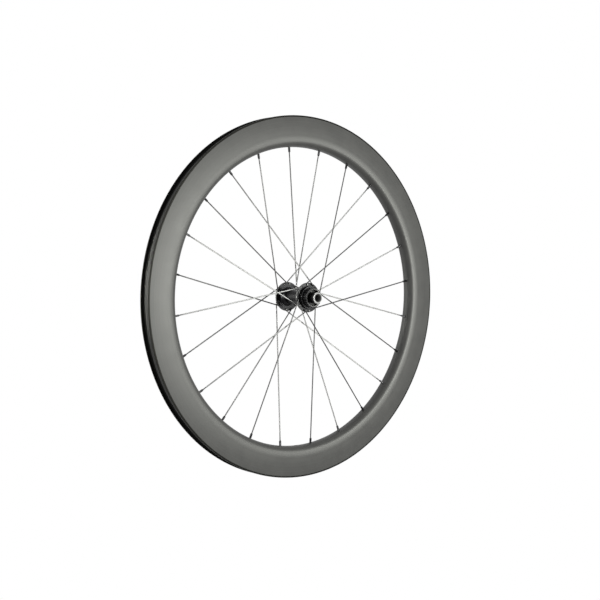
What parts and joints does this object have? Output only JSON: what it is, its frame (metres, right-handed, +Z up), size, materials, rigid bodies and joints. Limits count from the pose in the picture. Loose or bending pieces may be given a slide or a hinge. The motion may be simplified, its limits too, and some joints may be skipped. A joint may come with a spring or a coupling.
{
  "type": "bicycle wheel",
  "caption": "Front bicycle wheel: deep hollow rim, crossed bladed spokes and a flanged hub that turns on sealed bearings about a through-axle bore, with a splined seat for a brake rotor.",
  "frame": {"origin": "middle of the hub on the axle's line, half way between the end caps' faces and in the rim's centre plane", "axes": "+Y along the axle towards the brake side (the bicycle's left), +X forward, +Z up; the valve hole is at the bottom"},
  "size_m": [0.6339, 0.1, 0.634],
  "materials": {
    "carbon": "satin unidirectional carbon fibre under clear coat",
    "hub_black": "black anodised aluminium, bead blasted",
    "axle_alloy": "turned aluminium, bare",
    "nipple_black": "black anodised aluminium",
    "spoke_black": "black coated stainless steel wire, satin",
    "bearing_steel": "ground bearing steel",
    "cage_nylon": "moulded nylon",
    "seal_rubber": "black nitrile rubber",
    "cap_black": "black anodised aluminium with a bare turned end ring"
  },
  "bodies": {
    "axle": {"axle": "axle_alloy", "left_end_cap": "cap_black", "right_end_cap": "cap_black", "left_bearing_inner_ring": "bearing_steel", "right_bearing_inner_ring": "bearing_steel"},
    "wheel": {"rim": "carbon", "hub_shell": "hub_black", "spoke_nipples": "nipple_black", "spoke_01": "spoke_black", "spoke_02": "spoke_black", "spoke_03": "spoke_black", "spoke_04": "spoke_black", "spoke_05": "spoke_black", "spoke_06": "spoke_black", "spoke_07": "spoke_black", "spoke_08": "spoke_black", "spoke_09": "spoke_black", "spoke_10": "spoke_black", "spoke_11": "spoke_black", "spoke_12": "spoke_black", "spoke_13": "spoke_black", "spoke_14": "spoke_black", "spoke_15": "spoke_black", "spoke_16": "spoke_black", "spoke_17": "spoke_black", "spoke_18": "spoke_black", "spoke_19": "spoke_black", "spoke_20": "spoke_black", "spoke_21": "spoke_black", "spoke_22": "spoke_black", "spoke_23": "spoke_black", "spoke_24": "spoke_black", "left_bearing_outer_ring": "bearing_steel", "right_bearing_outer_ring": "bearing_steel", "left_seal": "seal_rubber", "right_seal": "seal_rubber"},
    "ball_cages": {"left_ball_cage": "cage_nylon", "right_ball_cage": "cage_nylon"}
  },
  "joints": [
    {"name": "wheel_spin", "type": "hinge", "parent": "axle", "child": "wheel", "pos_m": [0, 0, 0], "axis": [0, 1, 0], "continuous": true},
    {"name": "ball_cage_spin", "type": "hinge", "parent": "axle", "child": "ball_cages", "pos_m": [0, 0, 0], "axis": [0, 1, 0], "continuous": true}
  ],
  "couplings": [
    {"joint": "ball_cage_spin", "follows": "wheel_spin", "ratio": 0.5349}
  ]
}
